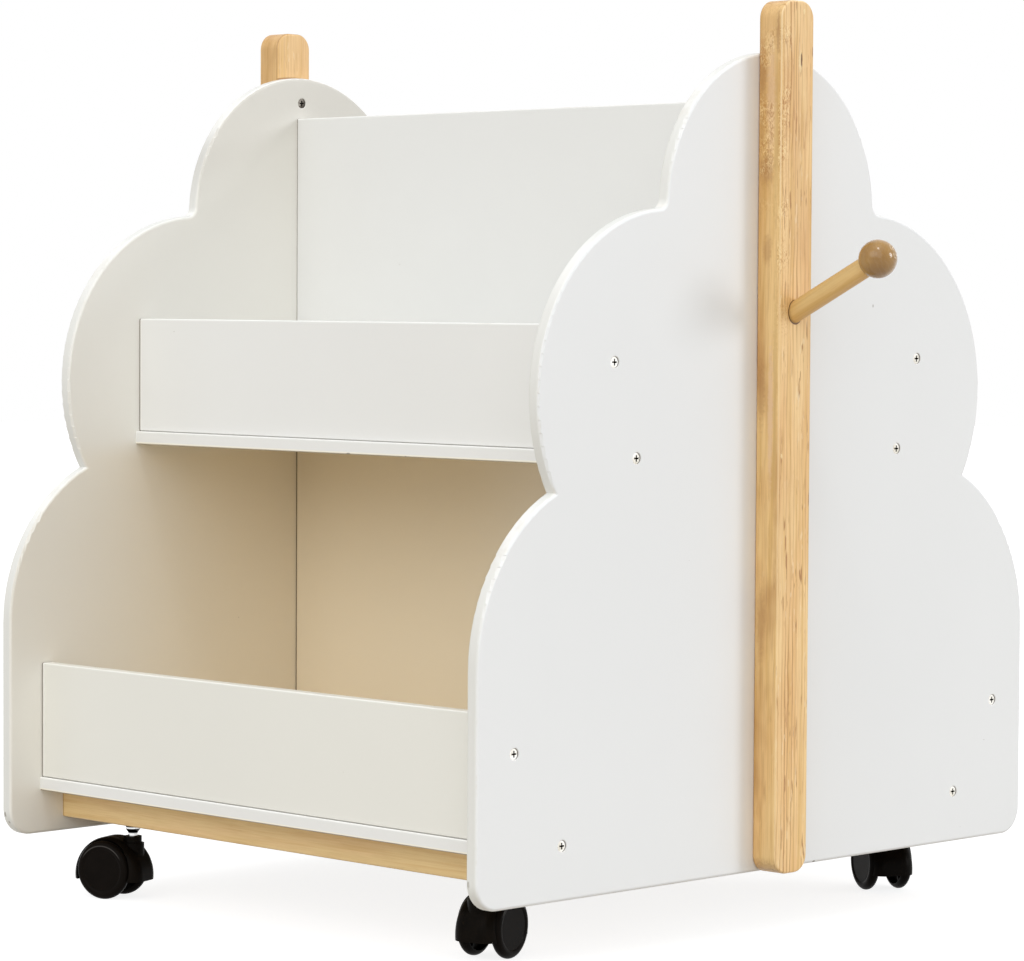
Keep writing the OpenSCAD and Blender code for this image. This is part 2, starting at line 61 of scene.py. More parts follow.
# One material's node tree, with short calls for the nodes that the finishes use
class Shader:
    def __init__(self, name):
        self.material = bpy.data.materials.new(name)
        self.material.use_nodes = True
        self.tree = self.material.node_tree
        self.surface = self.tree.nodes["Principled BSDF"]
        self.coords = self.add("ShaderNodeTexCoord").outputs["Object"]

    def add(self, kind, **settings):
        node = self.tree.nodes.new(kind)
        for key, value in settings.items():
            setattr(node, key, value)
        return node

    def link(self, source, target):
        self.tree.links.new(source, target)

    def feed(self, socket, value):
        if isinstance(value, bpy.types.NodeSocket):
            self.link(value, socket)
        else:
            socket.default_value = value

    def math(self, kind, a, b=0.0):
        node = self.add("ShaderNodeMath", operation=kind)
        self.feed(node.inputs[0], a)
        self.feed(node.inputs[1], b)
        return node.outputs[0]

    def vector(self, kind, a, b=(0.0, 0.0, 0.0)):
        node = self.add("ShaderNodeVectorMath", operation=kind)
        self.feed(node.inputs[0], a)
        self.feed(node.inputs[1], b)
        return node.outputs["Value"] if kind in ("LENGTH", "DISTANCE") else node.outputs[0]

    def split(self, vector):
        node = self.add("ShaderNodeSeparateXYZ")
        self.link(vector, node.inputs[0])
        return node.outputs

    def join(self, x, y, z):
        node = self.add("ShaderNodeCombineXYZ")
        for socket, value in zip(node.inputs, (x, y, z)):
            self.feed(socket, value)
        return node.outputs[0]

    def place(self, vector, move=(0, 0, 0), turn=(0, 0, 0), scale=(1, 1, 1)):
        node = self.add("ShaderNodeMapping")
        self.link(vector, node.inputs["Vector"])
        node.inputs["Location"].default_value = move
        node.inputs["Rotation"].default_value = turn
        node.inputs["Scale"].default_value = scale
        return node.outputs[0]

    def noise(self, vector, scale, detail=2.0, rough=0.5, distort=0.0):
        node = self.add("ShaderNodeTexNoise")
        self.link(vector, node.inputs["Vector"])
        node.inputs["Scale"].default_value = scale
        node.inputs["Detail"].default_value = detail
        node.inputs["Roughness"].default_value = rough
        node.inputs["Distortion"].default_value = distort
        return node.outputs[0]

    def cells(self, vector, scale):
        node = self.add("ShaderNodeTexVoronoi")
        self.link(vector, node.inputs["Vector"])
        node.inputs["Scale"].default_value = scale
        return node.outputs["Distance"]

    def steps(self, value, low, high, outLow=0.0, outHigh=1.0):
        node = self.add("ShaderNodeMapRange", interpolation_type="SMOOTHSTEP")
        for i, v in enumerate((value, low, high, outLow, outHigh)):
            self.feed(node.inputs[i], v)
        return node.outputs[0]

    def ramp(self, value, stops):
        node = self.add("ShaderNodeValToRGB")
        band = node.color_ramp
        while len(band.elements) < len(stops):
            band.elements.new(0.5)
        for element, (at, colour) in zip(band.elements, stops):
            element.position = at
            element.color = (*colour, 1.0)
        self.feed(node.inputs[0], value)
        return node.outputs[0]

    def mix(self, factor, a, b, kind="MIX"):
        node = self.add("ShaderNodeMix", data_type="RGBA", blend_type=kind)
        self.feed(node.inputs["Factor"], factor)
        for socket, value in ((node.inputs[6], a), (node.inputs[7], b)):
            self.feed(socket, (*value, 1.0) if isinstance(value, tuple) else value)
        return node.outputs[2]

    def bump(self, height, distance, strength=1.0, onto=None):
        node = self.add("ShaderNodeBump")
        self.link(height, node.inputs["Height"])
        node.inputs["Distance"].default_value = distance
        node.inputs["Strength"].default_value = strength
        if onto is not None:
            self.link(onto, node.inputs["Normal"])
        return node.outputs[0]

    def finish(self, colour=None, rough=None, normal=None, **fixed):
        for key, value in (("Base Color", colour), ("Roughness", rough), ("Normal", normal)):
            if value is not None:
                self.feed(self.surface.inputs[key], value)
        for key, value in fixed.items():
            self.surface.inputs[key].default_value = value
        return self.material


# Linear colour of an 8-bit display colour
def fromSrgb(*levels):
    return tuple((v / 255 / 12.92) if v <= 10 else ((v / 255 + 0.055) / 1.055) ** 2.4 for v in levels)


def dress(material, *names):
    for name in names:
        mesh = nodes[name].data
        mesh.materials.clear()
        mesh.materials.append(material)


# Smooth shading of the solids: a corner's normal is the area-weighted sum of the face normals that meet at its
# place and lie within the limit of its own face's, so flat faces stay flat and rounded edges run into them
shadingSet = {"limit": 34.0, "merge": 2e-6}


def smoothNormals(mesh, s):
    count = len(mesh.polygons)
    if count == 0:
        return
    places = np.empty(len(mesh.vertices) * 3)
    mesh.vertices.foreach_get("co", places)
    corners = np.empty(len(mesh.loops), dtype=np.int64)
    mesh.loops.foreach_get("vertex_index", corners)
    facing = np.empty(count * 3)
    mesh.polygons.foreach_get("normal", facing)
    area = np.empty(count)
    mesh.polygons.foreach_get("area", area)
    sides = np.empty(count, dtype=np.int64)
    mesh.polygons.foreach_get("loop_total", sides)
    face = np.repeat(np.arange(count), sides)
    facing = facing.reshape(-1, 3)
    at = np.round(places.reshape(-1, 3)[corners] / s["merge"]).astype(np.int64)
    group = np.unique(at, axis=0, return_inverse=True)[1].ravel()
    order = np.argsort(group, kind="stable")
    size = np.bincount(group)
    first = np.cumsum(size) - size
    rank = np.arange(len(order)) - first[group[order]]
    own = facing[face[order]]
    total = np.zeros_like(own)
    least = math.cos(math.radians(s["limit"]))
    for shift in range(int(size.max())):
        active = shift < size[group[order]]
        other = first[group[order]] + (rank + shift) % size[group[order]]
        seen = face[order[np.where(active, other, 0)]]
        near = active & ((own * facing[seen]).sum(1) > least)
        total += facing[seen] * (area[seen] * near)[:, None]
    total /= np.maximum(np.linalg.norm(total, axis=1), 1e-20)[:, None]
    normals = np.empty_like(total)
    normals[order] = total
    mesh.polygons.foreach_set("use_smooth", np.ones(count, dtype=bool))
    mesh.normals_split_custom_set(normals)


for node in nodes.values():
    smoothNormals(node.data, shadingSet)
print("solids shaded smooth")


# White lacquer on board: an even satin film with a slight orange peel, small dust specks, painted highlights on the
# arrises, painted shade and light in places, and thin dark seams where one board butts against another
lacquerSet = {
    "outer": fromSrgb(238, 239, 239),
    "inner": fromSrgb(241, 239, 232),
    # painted shade on the panels' edge faces
    "wall": fromSrgb(232, 232, 227),
    "board": fromSrgb(240, 240, 237),
    "lowBoard": fromSrgb(238, 237, 229),
    # painted light: the lower divider's bay tone turns paler towards its right end and top
    "bayRightLight": fromSrgb(255, 251, 242),
    # painted shade: the panels' inner faces are toned darker towards the crown
    "crown": fromSrgb(232, 229, 220),
    "divider": fromSrgb(237, 237, 234),
    "amber": (0.86, 0.76, 0.62),  # light that the post throws back on the panel beside it
    "bay": fromSrgb(241, 227, 200),  # painted warm shade of the low bays, where the boards only light each other
    # painted highlight on the arrises
    "arrisHighlight": fromSrgb(248, 247, 243),
    "thin": fromSrgb(222, 217, 206),
    "grime": fromSrgb(122, 112, 98),
    "speck": fromSrgb(150, 138, 120),
    "seam": fromSrgb(112, 101, 86),
    "feet": ((0.0822, 0.2298, 0.2390), (0.3192, 0.1434, 0.1526)),  # z and y range of the lips' feet
    "undersides": ((0.0730, 0.2405, 0.9), (0.3100, 0.1555, 0.6)),  # z and y of the shelves' lower arrises, strength
    # painted highlight and painted shade line on the shelves' lower front arrises
    "undersideHighlight": fromSrgb(255, 251, 236),
    "undersideShade": fromSrgb(118, 92, 54),
    "baySeam": fromSrgb(84, 64, 38),
    "bayTop": 0.310,
    "insideX": 0.2233,  # where the boards' ends meet the panels
    # painted shade where the key lamp reaches the left panel's crown over the divider
    "slope": 0.509, "litFrom": 0.5265, "litTo": 0.5620, "litCrownShade": (0.84, 0.83, 0.82),
    "bayDepth": (0.05, 0.24, 0.75, 0.12),  # from y, to y, and the bay tone's strength at each
    "crownRise": (0.42, 0.56),
    "besidePost": (0.0150, 0.0300, 0.4, 0.0),
    "ceiling": (0.312, 0.316),  # z where the upper shelf turns from the bay's tone to the board's
    "lipBack": (0.2290, 0.2300),
    "bayAcross": (-0.06, 0.14), "bayRise": (0.12, 0.27, 0.35, 1.0),
    "arris": (0.08, 0.24),  # lean of the normal at which an arris starts and is full
    "panelArrisHighlight": (0.2, 0.8), "boardArrisHighlight": 0.75, "footLine": 0.45,
    "lipEnd": (0.2200, 0.2207),
    "film": {"Coat Weight": 0.12, "Coat Roughness": 0.22, "Specular IOR Level": 0.42},
}
headSet = {
    # y and z of the panel screws, then of the post screws
    "places": tuple((side * y, z) for side in (-1, 1)
                    for y, z in ((0.1923, 0.0776), (0.2344, 0.1378), (0.1276, 0.3146), (0.1480, 0.3748))),
    "posts": ((0.0, 0.0572), (0.0, 0.5548)),
    "radius": 0.0036,
}


# One on the rounded arrises, where the normal leans between two flat sides
def arrisMask(s, low, high):
    n = [s.math("ABSOLUTE", v) for v in s.split(s.add("ShaderNodeNewGeometry").outputs["Normal"])[:3]]
    flat = s.math("MAXIMUM", s.math("MAXIMUM", n[0], n[1]), n[2])
    return s.steps(s.math("SUBTRACT", 1.0, flat), low, high)


# One inside an ellipsoid about a place, with a soft and ragged border
def spot(s, centre, radius, feather, stretch=(1.0, 1.0, 1.0), rag=0.0, ragScale=900.0):
    away = s.vector("MULTIPLY", s.vector("SUBTRACT", s.coords, centre), tuple(1.0 / (radius * v) for v in stretch))
    gap = s.vector("LENGTH", away)
    if rag:
        gap = s.math("ADD", gap, s.math("MULTIPLY", s.math("SUBTRACT", s.noise(s.coords, ragScale, 2.0), 0.5), rag))
    return s.steps(gap, 1.0 - feather, 1.0 + feather, 1.0, 0.0)


# Distance from the nearest of the screws' axes, which run along X and may be shifted along Y
def headDistance(s, places, shift=0.0):
    y, z = s.split(s.coords)[1:3]
    flat = s.join(0.0, y, z)
    gaps = [s.vector("DISTANCE", flat, (0.0, place[0] + shift, place[1])) for place in places]
    nearest = gaps[0]
    for gap in gaps[1:]:
        nearest = s.math("MINIMUM", nearest, gap)
    return nearest


def lacquer(name, kind, marks=(), seam=0.0):
    s = Shader(name)
    w = lacquerSet
    x, y, z = (s.math("ABSOLUTE", v) for v in s.split(s.coords)[:3])
    normal = s.split(s.add("ShaderNodeNewGeometry").outputs["Normal"])
    broad = s.noise(s.coords, 5.0, 3.0)
    peel = s.noise(s.coords, 260.0, 1.0)
    fine = s.noise(s.coords, 2400.0, 2.0)
    low = s.steps(z, w["bayTop"] - 0.012, w["bayTop"] + 0.006, 1.0, 0.0)
    arris = arrisMask(s, *w["arris"])
    if kind == "panel":
        out = s.math("MULTIPLY", normal[0], s.math("SIGN", s.split(s.coords)[0]))
        # Painted warm shade deep in the low bays
        deep = s.math("MULTIPLY", low, s.steps(y, *w["bayDepth"]))
        # Painted shade: the inner faces darken towards the crown
        tone = s.mix(deep, s.mix(s.steps(z, *w["crownRise"]), w["inner"], w["crown"]), w["bay"])
        # Painted shade on the panels' edge faces
        tone = s.mix(s.steps(out, -0.75, -0.25), tone, w["wall"])
        # Painted shade: the left panel's crown is toned down where the key lamp reaches it over the divider
        rise = s.math("ADD", s.split(s.coords)[2], s.math("MULTIPLY", y, w["slope"]))
        lit = s.steps(rise, w["litFrom"], w["litTo"])
        lit = s.math("MULTIPLY", lit, s.steps(s.split(s.coords)[0], -0.1, 0.1, 1.0, 0.0))
        lit = s.math("MULTIPLY", lit, s.steps(normal[2], 0.45, 0.85, 1.0, 0.0))
        tone = s.mix(lit, tone, s.mix(1.0, tone, w["litCrownShade"], "MULTIPLY"))
        outside = s.steps(out, 0.25, 0.75)
        # Painted warm bounce light from the post on the outer face beside it
        postBounceTone = s.mix(1.0, w["outer"], w["amber"], "MULTIPLY")
        tone = s.mix(outside, tone, s.mix(s.steps(y, *w["besidePost"]), w["outer"], postBounceTone))
        reach = headDistance(s, headSet["places"])
        seat = s.steps(reach, headSet["radius"] + 0.0001, headSet["radius"] + 0.0006, 0.4, 0.0)
        tone = s.mix(s.math("MULTIPLY", seat, outside), tone, w["seam"])
    elif kind == "shelf":
        face = s.steps(s.math("ABSOLUTE", normal[2]), 0.6, 0.9)
        # Painted warm shade on the shelf tops inside the bays
        held = s.math("MULTIPLY", s.steps(z, *w["ceiling"], 1.0, 0.0), s.steps(y, *w["lipBack"], 1.0, 0.0))
        tone = s.mix(s.math("MULTIPLY", held, face), w["board"], w["bay"])
    elif kind == "bay":
        # Painted light: the bay tone turns paler towards the lower divider's right end and its top
        across = s.math("MULTIPLY", s.steps(s.split(s.coords)[0], *w["bayAcross"]), s.steps(z, *w["bayRise"]))
        tone = s.mix(across, w["bay"], w["bayRightLight"])
    else:
        tone = w["divider"] if kind == "divider" else s.mix(low, w["board"], w["lowBoard"])
    tone = s.mix(s.steps(broad, 0.3, 0.7, 0.02, 0.0), tone, (0.0, 0.0, 0.0))
    # Painted highlights on the arrises, a panel's palest on top
    paler = s.steps(normal[2], 0.3, 0.8, *w["panelArrisHighlight"]) if kind == "panel" else w["boardArrisHighlight"]
    tone = s.mix(s.math("MULTIPLY", arris, paler), tone, w["arrisHighlight"])
    if kind in ("shelf", "lip"):
        for foot, inner, outer in w["feet"]:
            upper = s.steps(z, foot + 0.0002, foot + 0.0007, 1.0, 0.0)
            line = s.math("MULTIPLY", s.steps(z, foot - 0.0007, foot - 0.0003), upper)
            if kind == "shelf":
                line = s.math("MULTIPLY", line, s.steps(y, outer + 0.0001, outer + 0.0005, 1.0, 0.0))
            line = s.math("MULTIPLY", line, s.steps(y, inner - 0.0010, inner))
            tone = s.mix(s.math("MULTIPLY", line, w["footLine"]), tone, w["seam"])
    if kind == "shelf":
        # Painted highlight along each shelf's lower front arris, and a painted shade line at its bottom edge
        for under, edge, strength in w["undersides"]:
            front = s.steps(y, edge - 0.0030, edge - 0.0020)
            front = s.math("MULTIPLY", front, s.steps(z, under - 0.004, under - 0.003))
            pale = s.math("MULTIPLY", front, s.steps(z, under + 0.0014, under + 0.0020, 0.9, 0.0))
            tone = s.mix(pale, tone, w["undersideHighlight"])
            line = s.math("MULTIPLY", front, s.steps(z, under + 0.0003, under + 0.0009, strength, 0.0))
            tone = s.mix(line, tone, w["undersideShade"])
    wear = s.math("MULTIPLY", arris, s.steps(s.noise(s.coords, 34.0, 4.0, 0.65), 0.5, 0.72, 0.0, 0.6))
    tone = s.mix(wear, tone, w["thin"])
    if seam:
        if kind == "lip":
            # Painted highlight at the lip's end, beside its joint
            pale = s.math("MULTIPLY", s.steps(x, *w["lipEnd"]), 0.7)
            tone = s.mix(pale, tone, w["arrisHighlight"])
        joint = s.steps(x, w["insideX"] - seam - 0.0003, w["insideX"] - seam + 0.0003, 0.0, 0.9)
        tone = s.mix(joint, tone, w["baySeam"] if kind == "bay" else w["seam"])
    dust = s.cells(s.coords, 55.0)
    lone = s.steps(s.noise(s.coords, 23.0, 0.0), 0.6, 0.64)
    tone = s.mix(s.math("MULTIPLY", s.steps(dust, 0.014, 0.026, 0.6, 0.0), lone), tone, w["speck"])
    for centre, radius, strength, stretch in marks:
        mask = s.math("MULTIPLY", spot(s, centre, radius, 0.45, stretch, 1.1, 600.0), strength)
        tone = s.mix(mask, tone, w["grime"])
    rough = s.steps(s.math("ADD", s.math("MULTIPLY", broad, 0.6), s.math("MULTIPLY", fine, 0.4)), 0.3, 0.7, 0.36, 0.46)
    relief = s.bump(peel, 0.000045, 1.0, s.bump(fine, 0.000006))
    return s.finish(tone, rough, relief, **w["film"])


panelMarks = (
    # place, radius, strength, stretch
    ((0.2256, -0.2660, 0.0606), 0.0012, 0.5, (1.0, 1.0, 1.8)),
    ((0.2268, -0.2640, 0.0560), 0.0010, 0.45, (0.8, 1.0, 1.6)),
    ((0.2250, -0.2560, 0.0474), 0.0013, 0.35, (1.2, 1.8, 0.7)),
    ((0.2262, -0.2520, 0.0450), 0.0008, 0.4, (1.2, 1.8, 0.7)),
    ((0.2325, 0.0462, 0.0437), 0.0013, 1.0, (1.0, 1.0, 0.8)),
    ((0.2325, 0.1012, 0.4101), 0.0008, 0.5, (1.0, 0.7, 1.3)),
    ((-0.2315, -0.2660, 0.0966), 0.0006, 0.8, (1.0, 1.0, 1.0)),
    ((-0.2293, -0.2660, 0.0581), 0.0011, 0.7, (0.8, 1.0, 1.6)),
    ((-0.2271, -0.2640, 0.0528), 0.0010, 0.5, (1.0, 1.0, 1.0)),
)
shelfMarks = (
    ((-0.0033, -0.1555, 0.3106), 0.0011, 0.6, (1.6, 1.0, 0.6)),
    ((0.0520, -0.1555, 0.3104), 0.0006, 0.5, (1.6, 1.0, 0.8)),
)
lipMarks = (
    ((-0.1746, -0.2312, 0.1612), 0.0007, 1.0, (1.0, 1.0, 1.0)),
    ((-0.1718, -0.2318, 0.1612), 0.0005, 0.9, (1.0, 1.0, 1.0)),
    ((-0.1698, -0.2314, 0.1612), 0.0004, 0.9, (1.0, 1.0, 1.0)),
)
dress(lacquer("panelLacquer", "panel", panelMarks), "right_side_panel", "left_side_panel")
dress(lacquer("shelfLacquer", "shelf", shelfMarks), "lower_shelf", "upper_shelf")
dress(lacquer("lipLacquer", "lip", lipMarks, 0.0010), "front_lower_lip", "rear_lower_lip", "front_upper_lip",
      "rear_upper_lip")
dress(lacquer("dividerLacquer", "divider", (), 0.0006), "upper_divider")
dress(lacquer("bayLacquer", "bay", (), 0.0010), "lower_divider")
print("lacquer laid")


# Pine: growth rings about a pith that lies outside the piece, thin dark late wood, streaks and short dashes along
# the grain. The ring number is the distance from the pith over the rings' spacing, bent by a noise stretched along
# the grain.
postPine = {
    "pith": (0.2300, 0.1050, 0.0), "turn": (0.0, 0.0, 0.0), "period": 0.0031, "bend": 0.0075, "late": 1.0,
    "dash": 0.8, "pale": 0.4, "stain": 0.5, "rough": 0.42, "plain": (-0.0010, 0.0080, 0.45),
    "early": fromSrgb(249, 213, 153), "dark": fromSrgb(170, 110, 38), "blush": fromSrgb(240, 197, 136),
    "gold": fromSrgb(226, 182, 106), "side": (0.89, 0.87, 0.80),
}
farPine = dict(postPine, pith=(-0.2450, 0.0980, 0.3), period=0.0036, late=0.34, dash=0.25,
               early=fromSrgb(238, 198, 139), dark=fromSrgb(182, 130, 64), blush=fromSrgb(233, 190, 130))
railWood = {
    "pith": (-0.0300, -0.1900, 0.0), "turn": (0.0, math.radians(-90), 0.0), "period": 0.0050, "bend": 0.0070,
    "late": 0.5, "dash": 0.3, "pale": 0.2, "stain": 0.12, "rough": 0.5, "plain": None,
    "early": fromSrgb(247, 216, 156), "dark": fromSrgb(212, 172, 110), "blush": fromSrgb(247, 212, 156),
    "gold": fromSrgb(230, 190, 124), "side": (1.0, 1.0, 1.0),
}
pegWood = {
    "pith": (0.0, 0.0300, 0.0), "turn": (0.0, math.radians(-63.6), 0.0), "period": 0.0024, "bend": 0.0016,
    "late": 0.14, "dash": 0.45, "pale": 0.2, "stain": 0.1, "rough": 0.42, "plain": None,
    "early": fromSrgb(211, 178, 118), "dark": fromSrgb(182, 140, 78), "blush": fromSrgb(206, 170, 110),
    "gold": fromSrgb(196, 160, 92), "side": (1.0, 1.0, 1.0),
}
woodSet = {
    "dashTint": (0.82, 0.74, 0.62), "fleck": (1.0, 0.82, 0.54), "endGrain": (0.86, 0.78, 0.66),
    "film": {"Coat Weight": 0.16, "Coat Roughness": 0.26},
}


# Colour, relief and fibre of sawn wood
def grainColour(s, w):
    local = s.vector("SUBTRACT", s.place(s.coords, turn=w["turn"]), w["pith"])

    def along(stretch, scale, detail=2.0, rough=0.5, move=(0.0, 0.0, 0.0)):
        return s.noise(s.place(local, move=move, scale=(1.0, 1.0, stretch)), scale, detail, rough)

    bendX = s.math("MULTIPLY", s.math("SUBTRACT", along(0.2, 26.0), 0.5), w["bend"])
    bendY = s.math("MULTIPLY", s.math("SUBTRACT", along(0.24, 75.0, 2.0, 0.55, (3.1, 7.7, 1.3)), 0.5), w["bend"] * 0.55)
    x, y = s.split(local)[:2]
    flat = s.join(s.math("ADD", x, bendX), s.math("ADD", y, bendY), 0.0)
    sway = s.math("MULTIPLY", along(0.05, 120.0, 1.0, 0.5, (6.0, 3.0, 2.0)), 1.7)
    ring = s.math("ADD", s.math("DIVIDE", s.vector("LENGTH", flat), w["period"]), sway)
    phase = s.math("FRACT", ring)
    number = s.math("FLOOR", ring)
    lateBand = s.math("MULTIPLY", s.steps(phase, 0.60, 0.86), s.steps(phase, 0.92, 1.0, 1.0, 0.0))
    uneven = s.add("ShaderNodeTexWhiteNoise", noise_dimensions="1D")
    s.link(number, uneven.inputs["W"])
    depth = s.math("MULTIPLY", s.steps(uneven.outputs["Value"], 0.0, 1.0, 0.45, 1.0), w["late"])
    depth = s.math("MULTIPLY", depth, s.steps(along(0.25, 50.0, 1.0), 0.36, 0.6, 0.35, 1.0))
    n = [s.math("ABSOLUTE", v) for v in s.split(s.add("ShaderNodeNewGeometry").outputs["Normal"])[:3]]
    front = s.steps(n[1], 0.4, 0.9, 1.0, 0.3)
    depth = s.math("MULTIPLY", depth, front)
    if w["plain"]:
        start, end, left = w["plain"]
        depth = s.math("MULTIPLY", depth, s.steps(s.split(s.coords)[1], start, end, 1.0, left))
    fibre = along(0.022, 1500.0, 3.0, 0.6)
    tone = s.mix(s.steps(along(0.16, 62.0), 0.34, 0.62), w["blush"], w["early"])
    tone = s.mix(s.steps(along(0.03, 300.0, 2.0, 0.55), 0.48, 0.7, 0.0, 0.6), tone, w["gold"])
    tone = s.mix(s.math("MULTIPLY", lateBand, depth), tone, w["dark"])
    tone = s.mix(s.steps(fibre, 0.32, 0.62, 0.24, 0.0), tone, w["dark"])
    area = s.steps(along(0.5, 58.0, 1.0, 0.5, (5.0, 2.0, 0.7)), 0.4, 0.62, 0.2, 1.0)
    area = s.math("MULTIPLY", area, front)
    dash = s.math("MULTIPLY", s.steps(along(0.11, 560.0, 2.0, 0.5), 0.6, 0.68), area)
    darker = tuple(c * v for c, v in zip(w["dark"], woodSet["dashTint"]))
    tone = s.mix(s.math("MULTIPLY", dash, w["dash"]), tone, darker)
    fleck = s.math("MULTIPLY", s.steps(along(0.2, 520.0, 1.0, 0.5, (9.0, 1.0, 4.0)), 0.65, 0.72), area)
    tone = s.mix(s.math("MULTIPLY", fleck, w["pale"]), tone, woodSet["fleck"])
    stain = s.steps(along(0.3, 34.0, 3.0, 0.6, (2.0, 6.0, 3.0)), 0.45, 0.66, 0.0, w["stain"])
    stain = s.math("MULTIPLY", stain, s.steps(n[1], 0.4, 0.9, 0.3, 1.0))
    tone = s.mix(stain, tone, w["dark"])
    tone = s.mix(s.math("MULTIPLY", n[1], n[1]), tone, s.mix(1.0, tone, w["side"], "MULTIPLY"))
    tone = s.mix(s.math("MULTIPLY", n[2], n[2]), tone, s.mix(1.0, tone, woodSet["endGrain"], "MULTIPLY"))
    relief = s.math("ADD", s.math("MULTIPLY", fibre, 0.5), s.math("MULTIPLY", lateBand, 0.3))
    relief = s.math("SUBTRACT", relief, s.math("MULTIPLY", dash, 0.3))
    return tone, relief, fibre


def wood(name, w, alter=None):
    s = Shader(name)
    tone, relief, fibre = grainColour(s, w)
    if alter is not None:
        tone, relief = alter(s, tone, relief)
    rough = s.steps(fibre, 0.3, 0.7, w["rough"] + 0.06, w["rough"] - 0.04)
    normal = s.bump(relief, 0.00009)
    return s.finish(tone, rough, normal, **woodSet["film"])


pegSet = {
    "tilt": 26.4, "z": 0.4064, "faceX": 0.2520, "radius": 0.0067, "crownZ": 0.4722, "crownRadius": 0.1008,
    "pocket": fromSrgb(112, 66, 14), "resin": fromSrgb(250, 224, 168), "hole": fromSrgb(92, 54, 14),
    "brown": fromSrgb(168, 118, 66), "pinkish": fromSrgb(226, 190, 150), "shade": fromSrgb(146, 98, 46),
    "olive": fromSrgb(200, 164, 98), "curl": fromSrgb(174, 114, 46),
    "arrisHighlight": (0.95, 0.74, 0.44), "underside": (1.36, 1.33, 1.27),
}


# Distance from a peg's axis, which starts on the post's face and leans up and outwards
def pegDistance(s, side, drop=(0.0, 0.0, 0.0)):
    tilt = math.radians(pegSet["tilt"])
    start = (side * pegSet["faceX"], drop[1], pegSet["z"] + drop[2])
    away = s.vector("SUBTRACT", s.coords, start)
    return s.vector("LENGTH", s.vector("CROSS_PRODUCT", away, (side * math.cos(tilt), 0.0, math.sin(tilt))))


# The dark joint round a peg, a painted highlight along the post's outer arris, and painted shade where the post meets
# the panel
def postTouches(s, tone, side):
    gap = pegDistance(s, side, (0.0, -0.00022, -0.0003))
    ring = s.steps(gap, pegSet["radius"] + 0.0004, pegSet["radius"] + 0.00062, 0.95, 0.0)
    tone = s.mix(ring, tone, pegSet["hole"])
    n = [s.math("ABSOLUTE", v) for v in s.split(s.add("ShaderNodeNewGeometry").outputs["Normal"])[:3]]
    x, y, z = s.split(s.coords)[:3]
    outer = s.math("ABSOLUTE", x)
    # Painted highlight along the post's outer arris
    arrisHighlight = s.steps(s.math("MULTIPLY", n[0], s.math("MAXIMUM", n[1], n[2])), 0.28, 0.46)
    arrisHighlight = s.math("MULTIPLY", arrisHighlight, s.steps(outer, 0.2490, 0.2500))
    arrisHighlight = s.math("MULTIPLY", arrisHighlight, s.steps(z, 0.40, 0.52, 0.3, 0.65))
    tone = s.mix(arrisHighlight, tone, pegSet["arrisHighlight"])
    foot = s.math("MULTIPLY", s.steps(outer, 0.2330, 0.2342, 0.8, 0.0), s.steps(n[0], 0.3, 0.8, 1.0, 0.0))
    rim = s.steps(s.vector("DISTANCE", s.join(0.0, y, z), (0.0, 0.0, pegSet["crownZ"])), pegSet["crownRadius"] + 0.0005,
                  pegSet["crownRadius"] + 0.0014, 0.75, 0.0)
    rim = s.math("MULTIPLY", rim, s.steps(outer, 0.2328, 0.2334, 1.0, 0.0))
    return s.mix(s.math("MAXIMUM", foot, rim), tone, pegSet["shade"])


postClouds = (
    # place, radius, stretch, strength, tone in pegSet
    ((0.2486, -0.0158, 0.3500), 0.0017, (1.0, 1.0, 40.0), 0.5, "olive"),
    ((0.2478, -0.0158, 0.5200), 0.0020, (1.0, 1.0, 26.0), 0.45, "olive"),
    ((0.2366, -0.0158, 0.3540), 0.0030, (1.0, 1.0, 6.0), 0.5, "brown"),
    ((0.2362, -0.0158, 0.5560), 0.0028, (1.2, 1.0, 4.0), 0.55, "brown"),
    ((0.2410, -0.0158, 0.4460), 0.0026, (1.3, 1.0, 3.0), 0.45, "brown"),
    ((0.2384, -0.0158, 0.2050), 0.0024, (1.2, 1.0, 9.0), 0.35, "brown"),
    ((0.2402, -0.0158, 0.4980), 0.0036, (1.4, 1.0, 2.4), 0.55, "brown"),
    ((0.2490, -0.0158, 0.5850), 0.0016, (1.0, 1.0, 8.0), 0.6, "brown"),
    ((0.2448, -0.0158, 0.3420), 0.0020, (1.0, 1.0, 20.0), 0.75, "pinkish"),
    ((0.2436, -0.0158, 0.5400), 0.0032, (1.0, 1.0, 11.0), 0.6, "pinkish"),
)
postFlecks = (
    ((0.2520, 0.0060, 0.5990), 0.0010),
    ((0.2520, -0.0126, 0.3138), 0.0011),
    ((0.2520, -0.0105, 0.5820), 0.0008),
)


